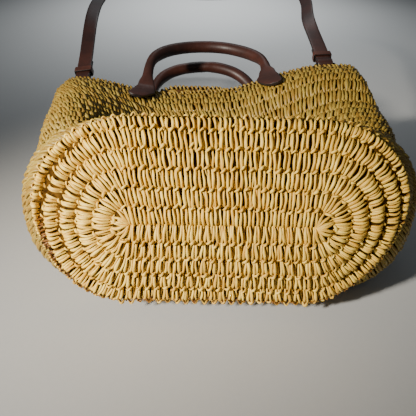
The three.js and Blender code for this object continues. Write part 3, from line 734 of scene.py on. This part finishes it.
# leather: curves, stations and rounded strips
def curveAt(points, steps):
    # centripetal curve through the points, as three.js draws it
    p = np.vstack([2 * points[0] - points[1], points, 2 * points[-1] - points[-2]])
    found = []
    for want in steps * (len(points) - 1):
        i = min(int(want), len(points) - 2)
        w = want - i
        a, b, c, d = p[i:i + 4]
        gaps = [max(np.sum((y - x) ** 2) ** 0.25, 1e-4) for x, y in ((a, b), (b, c), (c, d))]
        first = ((b - a) / gaps[0] - (c - a) / (gaps[0] + gaps[1]) + (c - b) / gaps[1]) * gaps[1]
        second = ((c - b) / gaps[1] - (d - b) / (gaps[1] + gaps[2]) + (d - c) / gaps[2]) * gaps[1]
        cubic = (2 * b - 2 * c + first + second) * w ** 3 + (3 * c - 3 * b - 2 * first - second) * w ** 2
        found.append(cubic + first * w + b)
    return np.array(found)


def onStraw(across, r, side):
    cols = np.arange(wallCount)
    points, normals = wall.at(np.full(wallCount, float(r)), cols)
    front = (cols < wallCount / 4) | (cols > 3 * wallCount / 4)
    gap = np.where(front == (side > 0), np.abs(points[:, 0] - across), 1e9)
    best = int(np.argmin(gap))
    return points[best], normals[best]


def rounded(width, thick, sides, corner):
    # a strip's cross-section for every ring: across and up, with rounded edges
    width, thick = np.asarray(width, float), np.asarray(thick, float)
    turn = 2 * math.pi * (np.arange(sides) + 0.5) / sides
    c, s = np.cos(turn), np.sin(turn)
    power = np.asarray(corner, float)[..., None]
    x = np.sign(c) * np.abs(c) ** power * width[..., None] / 2
    z = np.sign(s) * np.abs(s) ** power * thick[..., None] / 2
    return np.stack([x, z], -1)


def capped(at, up, profile):
    # shrinks two more rings onto both ends, so that the strip is closed
    at = np.concatenate([at[:, :1], at[:, :1], at, at[:, -1:], at[:, -1:]], 1)
    ahead = unit(at[:, 3] - at[:, 2])
    behind = unit(at[:, -3] - at[:, -4])
    at[:, 0] -= ahead * 0.012
    at[:, 1] -= ahead * 0.01
    at[:, -1] += behind * 0.012
    at[:, -2] += behind * 0.01
    up = np.concatenate([up[:, :1], up[:, :1], up, up[:, -1:], up[:, -1:]], 1)
    first, last = profile[:, :1], profile[:, -1:]
    profile = np.concatenate([first * 0.01, first * 0.9, profile, last * 0.9, last * 0.01], 1)
    return at, up, profile


handleValues = {
    "roll": 13.4, "tabWide": 25, "tabThick": 3.2, "tabLong": (37, 31), "spread": 130, "clear": 1.0,
    "reach": 86, "rise": (22, -7), "shift": -16, "corner": 2.6,
}
archTables = (   # along, out, up, wide, thick: of the front handle, then of the back one
    (
        (0.07, 0.99, 0.06, 0.32, 0.85), (0.22, 0.985, 0.34, -0.18, 0.6), (0.38, 0.968, 0.69, -0.25, 0.3),
        (0.53, 0.912, 0.905, -0.14, 0.1), (0.69, 0.77, 1.02, -0.03, 0), (0.82, 0.6, 1.035, 0, 0),
        (0.94, 0.36, 1.012, 0, 0), (0.99, 0.12, 1, 0, 0),
    ),
    (
        (0.1, 0.99, 0.05, 0.32, 0.85), (0.28, 0.985, 0.2, -0.14, 0.6), (0.48, 0.955, 0.45, -0.14, 0.3),
        (0.655, 0.875, 0.655, -0.06, 0.1), (0.8, 0.745, 0.8, 0, 0), (0.91, 0.55, 0.91, 0, 0),
        (0.975, 0.31, 0.975, 0, 0), (1, 0.1, 1, 0, 0),
    ),
)
tabTable = (   # outer side away and down, inner side away and down
    (0.74, 0.96, 0.06, 0.9), (1.03, 0.86, -0.4, 0.7),
    (1.0, 0.6, -0.77, 0.38), (0.88, 0.24, -0.82, 0.12),
)


def handle(name, side, node):
    v = handleValues
    which = 0 if side > 0 else 1
    arch = onStraw(v["shift"], rimRound, 1)[0]
    stations = []   # place, up, across or None, width, thickness
    for hand in (-1, 1):
        half = []
        across = v["shift"] + hand * v["spread"] / 2
        tabRounds = v["tabLong"][0 if hand < 0 else 1] / (shape["depth"] / shape["wall"])

        def spot(out, down):
            return onStraw(across + hand * out * v["tabWide"] / 2, rimRound - down * tabRounds, side)

        for outerAway, outerDown, innerAway, innerDown in tabTable:
            point, normal = spot((outerAway + innerAway) / 2, (outerDown + innerDown) / 2)
            turn = spot(outerAway, outerDown)[0] - spot(innerAway, innerDown)[0]
            wide = float(np.linalg.norm(turn))
            raised = point + normal * (v["clear"] + v["tabThick"] / 2)
            half.append((raised, normal, turn / wide * side, wide, v["tabThick"]))
        rim, normal = onStraw(across, rimRound, side)
        start = rim + normal * ((2, 4)[which] * v["clear"] + v["tabThick"] / 2)
        half.append((start, normal, None, v["tabWide"] * 0.76, v["tabThick"]))
        reachTo = arch[1] + v["reach"] + (0, v["roll"])[which]
        for along, out, upward, wide, thick in archTables[which]:
            place = (
                v["shift"] + hand * out * v["spread"] / 2,
                start[1] + along * (reachTo - start[1]),
                start[2] + upward * (arch[2] + v["rise"][which] - start[2]),
            )
            wide = v["roll"] + wide * (v["tabWide"] - v["roll"])
            thick = v["roll"] + thick * (v["tabThick"] - v["roll"])
            half.append((np.array(place), normal, None, wide, thick))
        stations += half if hand < 0 else half[::-1]
    places, ups, turns, wides, thicks = zip(*stations)
    places, ups = np.array(places), np.array(ups)
    count = len(places)
    fine = np.concatenate([
        np.linspace(0, 1, 13),
        np.linspace(1, count - 2, 8 * (count - 3) + 1)[1:],
        np.linspace(count - 2, count - 1, 13)[1:],
    ])
    at = curveAt(places, fine / (count - 1))
    marks = np.arange(count)
    up = unit(np.stack([np.interp(fine, marks, ups[:, k]) for k in range(3)], -1))
    ahead = unit(np.gradient(curveAt(places, marks / (count - 1)), axis=0))
    square = unit(np.cross(ups - ahead * np.sum(ups * ahead, -1, keepdims=True), ahead))
    turns = np.array([square[k] if turn is None else turn for k, turn in enumerate(turns)])
    across = unit(np.stack([np.interp(fine, marks, turns[:, k]) for k in range(3)], -1))
    wide = monotone(marks, np.array(wides), fine)
    thick = monotone(marks, np.array(thicks), fine)
    far = np.concatenate([[0], np.cumsum(np.linalg.norm(np.diff(at, axis=0), axis=1))])
    for fromEnd in (far, far[-1] - far):
        short = np.clip(v["corner"] - fromEnd, 0, None)
        wide = wide - 2 * (v["corner"] - np.sqrt(np.maximum(v["corner"] ** 2 - short ** 2, 0)))
    flat = smooth(1.2, 3, wide / thick)
    profile = rounded(wide, thick, 28, 1 - 0.62 * flat)
    across = np.concatenate([across[:1], across[:1], across, across[-1:], across[-1:]])
    at, up, profile = capped(at[None], up[None], profile[None])
    part = sweep(at, up, profile, across=across[None])
    around = np.arange(28)
    rim = np.minimum(np.abs(around - 13), np.minimum(around + 1, 27 - around)) < 2.2   # narrow sides
    flats = np.concatenate([[1, 1], flat, [1, 1]])
    black = (flats[:-1, None] > 0.3) & rim[None]
    black[:3] = True
    black[-3:] = True
    finishes = [materials["leather"], materials["edge"]]
    return piece(name, [part], finishes, node, black.ravel())


handle("handle_front_leather", 1, "handle_front")
handle("handle_back_leather", -1, "handle_back")
print("handles made")

strapValues = {
    "width": 16, "thick": 2.8, "fold": 42, "wire": 3.4, "ringInside": 17.6, "ringHigh": 9.5, "eyeClear": 0.35,
    "anchorLong": 24, "keeperLong": 8, "keeperWall": 1.6, "keeperFrom": 14, "reach": 423, "clear": 0.3,
    "edging": 2.5,
    "left": (-154.4, 0.5, 0, 0.3, 6.4),   # across, lean, aside, climb, clear
    "right": (112, 0.5, 0, 0.15, 2.4),
}
strapRoute = (
    # far, high, wide, roll
    (0.32, 0.98, -0.95, 0.05), (0.5, 1.005, -0.985, 0.12),
    (0.7, 0.97, -0.99, 0.4), (0.88, 0.88, -0.82, 0.85),
    (0.975, 0.815, -0.48, 1), (1, 0.79, -0.14, 1), (0.975, 0.82, 0.2, 1), (0.88, 0.9, 0.54, 0.9),
    (0.7, 0.99, 0.7, 0.7), (0.5, 1.03, 0.69, 0.45), (0.32, 0.99, 0.645, 0.3),
)
eyeRadius = strapValues["wire"] / 2 + strapValues["eyeClear"] + strapValues["thick"] / 2
layerOffset = (strapValues["thick"] + strapValues["clear"]) / 2


def mouthFrame(hand):
    v = strapValues
    across, lean, aside, climb, clear = v[hand]
    here, out = onStraw(across, rimRound, 1)
    behind = onStraw(across, rimRound - 0.6, 1)[0]
    along = here - behind
    along[0] = 0
    along = unit(along - out * (along @ out))
    bar = here - out * (shape["thick"] + clear + v["thick"] + v["clear"] / 2)
    bar = bar + along * (2 * v["edging"] + v["clear"] + eyeRadius + v["thick"] / 2 + 2 * v["clear"])
    side = np.cross(along, out)
    ringUp = along * math.cos(lean) + out * math.sin(lean)
    top = bar + ringUp * (v["ringHigh"] + v["wire"])
    away = np.array([aside, 1, climb], float)
    away = unit(away - side * (away @ side))
    up = unit(np.cross(side, away))
    up = -up if up @ out < 0 else up
    return {
        "bar": bar, "along": along, "out": out, "side": side,
        "ringUp": ringUp, "top": top, "away": away, "up": up,
    }


def foldedEnd(bar, away, up, length):
    at, ups = [], []
    shares = np.concatenate([np.linspace(1, 0.3, 8), np.linspace(0.27, 0.04, 8)])
    for sign in (-1, 1):
        for share in shares if sign < 0 else shares[::-1]:
            far = share * length
            offset = layerOffset + (eyeRadius - layerOffset) * (1 - smooth(1, 11, far))
            at.append(bar + away * far + up * sign * offset)
            ups.append(up * sign)
        if sign < 0:
            for a in np.linspace(-math.pi / 2, math.pi / 2, 15):
                radial = -away * math.cos(a) + up * math.sin(a)
                at.append(bar + radial * eyeRadius)
                ups.append(radial)
    return np.array(at), np.array(ups)


def strip(name, at, up, node):
    count = len(at)
    wide = np.full(count, float(strapValues["width"]))
    far = np.concatenate([[0], np.cumsum(np.linalg.norm(np.diff(at, axis=0), axis=1))])
    for fromEnd in (far, far[-1] - far):
        short = np.clip(4 - fromEnd, 0, None)
        wide = wide - 2 * (4 - np.sqrt(np.maximum(16 - short ** 2, 0)))
    profile = rounded(wide, np.full(count, strapValues["thick"]), 20, np.full(count, 0.4))
    at, up, profile = capped(at[None], up[None], profile[None])
    around = np.arange(20)
    rim = np.minimum(np.abs(around - 9), np.minimum(around + 1, 19 - around)) < 1.6
    black = np.zeros((at.shape[1] - 1, 20), bool) | rim[None]
    black[:2] = True
    black[-2:] = True
    finishes = [materials["leather"], materials["edge"]]
    return piece(name, [sweep(at, up, profile)], finishes, node, black.ravel())


def loopPath(halfWide, low, high, corner, steps):
    path = []
    for sx, sz, first in ((1, 0, -90), (1, 1, 0), (-1, 1, 90), (-1, 0, 180)):
        for i in range(steps + 1):
            a = math.radians(first + 90 * i / steps)
            x = sx * (halfWide - corner) + corner * math.cos(a)
            z = (high - corner if sz else low + corner) + corner * math.sin(a)
            path.append((x, z, a))
    return np.array(path)


def loopPart(middle, side, up, path, profile):
    at = middle + path[:, :1] * side + path[:, 1:2] * up
    out = np.cos(path[:, 2:3]) * side + np.sin(path[:, 2:3]) * up
    count = len(path)
    return sweep(at[None], out[None], np.broadcast_to(profile, (1, count, *profile.shape)), closed=True)


def ring(name, hand, node):
    f = mouthFrame(hand)
    v = strapValues
    path = loopPath((v["ringInside"] + v["wire"]) / 2, 0, v["ringHigh"] + v["wire"], 3.4, 8)
    turn = 2 * math.pi * np.arange(16) / 16
    profile = np.stack([np.cos(turn), np.sin(turn)], -1) * v["wire"] / 2
    part = loopPart(f["bar"], f["side"], f["ringUp"], path, profile)
    return piece(name, [part], [materials["metal"]], node)


def keeper(name, hand, node):
    f = mouthFrame(hand)
    v = strapValues
    wide = v["width"] / 2 + v["eyeClear"] + v["keeperWall"] / 2
    tall = layerOffset + v["thick"] / 2 + v["eyeClear"] + v["keeperWall"] / 2
    path = loopPath(wide, -tall, tall, 1.1, 5)
    profile = rounded(np.array([v["keeperLong"]]), np.array([v["keeperWall"]]), 20, np.array([0.4]))[0]
    middle = f["top"] + f["away"] * (v["keeperFrom"] + v["keeperLong"] / 2)
    side = np.cross(f["away"], f["up"])
    part = loopPart(middle, side, f["up"], path, profile)
    around = np.arange(20)
    rim = np.minimum(np.abs(around - 9), np.minimum(around + 1, 19 - around)) < 1.6
    black = np.zeros((len(path), 20), bool) | rim[None]
    finishes = [materials["trim"], materials["edge"]]
    return piece(name, [part], finishes, node, black.ravel())


def shoulderStrap():
    left, right = mouthFrame("left"), mouthFrame("right")
    head = foldedEnd(left["top"], left["away"], left["up"], strapValues["fold"])
    tail = foldedEnd(right["top"], right["away"], right["up"], strapValues["fold"])
    tail = tail[0][::-1], tail[1][::-1]
    route = np.array([
        (wide * bodyHalf, shape["depth"] + far * strapValues["reach"], tall * lyingHeight)
        for far, tall, wide, roll in strapRoute
    ])
    knots = np.vstack([head[0][-1], route, tail[0][0]])
    rolls = np.array([0, *[row[3] for row in strapRoute], 0])
    spans = len(rolls) - 1
    steps = np.arange(1, spans * 10) / (spans * 10)
    at = curveAt(knots, steps)
    ahead = unit(curveAt(knots, np.clip(steps + 1e-3, 0, 0.99999)) - curveAt(knots, steps - 1e-3))
    roll = np.interp(steps * spans, np.arange(spans + 1), rolls) * math.pi / 2
    side = unit(np.stack([ahead[:, 1], -ahead[:, 0], 0 * ahead[:, 0]], -1))
    upward = unit(np.cross(side, ahead))
    near = np.where(steps[:, None] < 0.5, left["up"], right["up"])
    settle = smooth(0, 1.5 / spans, np.minimum(steps, 1 - steps))[:, None]
    up = upward * np.cos(roll)[:, None] + side * np.sin(roll)[:, None]
    up = unit(near * (1 - settle) + up * settle)
    at = np.vstack([head[0], at, tail[0]])
    up = np.vstack([head[1], up, tail[1]])
    long = float(np.sum(np.linalg.norm(np.diff(at, axis=0), axis=1))) / 1000
    print("strap length", round(long, 3), "m")
    return strip("shoulder_strap_leather", at, up, "shoulder_strap")


for hand in ("left", "right"):
    found = mouthFrame(hand)
    folded = foldedEnd(found["bar"], -found["along"], found["out"], strapValues["anchorLong"])
    strip("anchor_leather_" + hand, *folded, "strap_anchor_" + hand)
    ring("ring_wire_" + hand, hand, "ring_" + hand)
    keeper("keeper_leather_" + hand, hand, "strap_keeper_" + hand)
shoulderStrap()
print("strap made")

# floor and light
stageValues = {
    "floor": (0.48, 0.485, 0.478), "floorSide": 4.0, "floorLow": -0.0006,
    "sky": (0.60, 0.66, 0.72), "skyStrength": 0.16,
    "lights": (
        # place and target in metres, size, watts, colour, spread in degrees
        ((-1.1, -1.1, 0.85), (-0.05, -0.25, 0.06), 0.14, 1.35, (1.0, 0.94, 0.84), 24),
        ((-0.05, 1.3, 1.2), (0, 0.72, 0), 0.4, 2.8, (0.95, 0.98, 1.0), 50),
    ),
}


def makeStage():
    mesh = bpy.data.meshes.new("floor")
    side = stageValues["floorSide"]
    low = stageValues["floorLow"]
    corners = [(-side, -side, low), (side, -side, low), (side, side, low), (-side, side, low)]
    mesh.from_pydata(corners, [], [(0, 1, 2, 3)])
    floor = bpy.data.objects.new("floor", mesh)
    bpy.context.scene.collection.objects.link(floor)
    made = Finish("floor")
    cloud = made.noise(made.objectPlace(), 3.0, 4.0)
    speck = made.noise(made.objectPlace(), 240.0, 3.0)
    pale = stageValues["floor"]
    darker = tuple(c * 0.9 for c in pale)
    lighter = tuple(min(c * 1.08, 1) for c in pale)
    made.set(Base_Color=made.mix(cloud * 0.7 + speck * 0.3, darker, lighter), Roughness=0.75)
    mesh.materials.append(made.material)
    world = bpy.data.worlds.new("sky")
    world.use_nodes = True
    back = world.node_tree.nodes["Background"]
    back.inputs["Color"].default_value = (*stageValues["sky"], 1)
    back.inputs["Strength"].default_value = stageValues["skyStrength"]
    bpy.context.scene.world = world
    for i, (place, target, size, watts, colour, spread) in enumerate(stageValues["lights"]):
        data = bpy.data.lights.new("light" + str(i), "AREA")
        data.energy = watts
        data.size = size
        data.color = colour
        data.spread = math.radians(spread)
        light = bpy.data.objects.new("light" + str(i), data)
        bpy.context.scene.collection.objects.link(light)
        light.location = place
        light.rotation_euler = (Vector(target) - Vector(place)).to_track_quat("-Z", "Y").to_euler()


makeStage()
print("stage made")
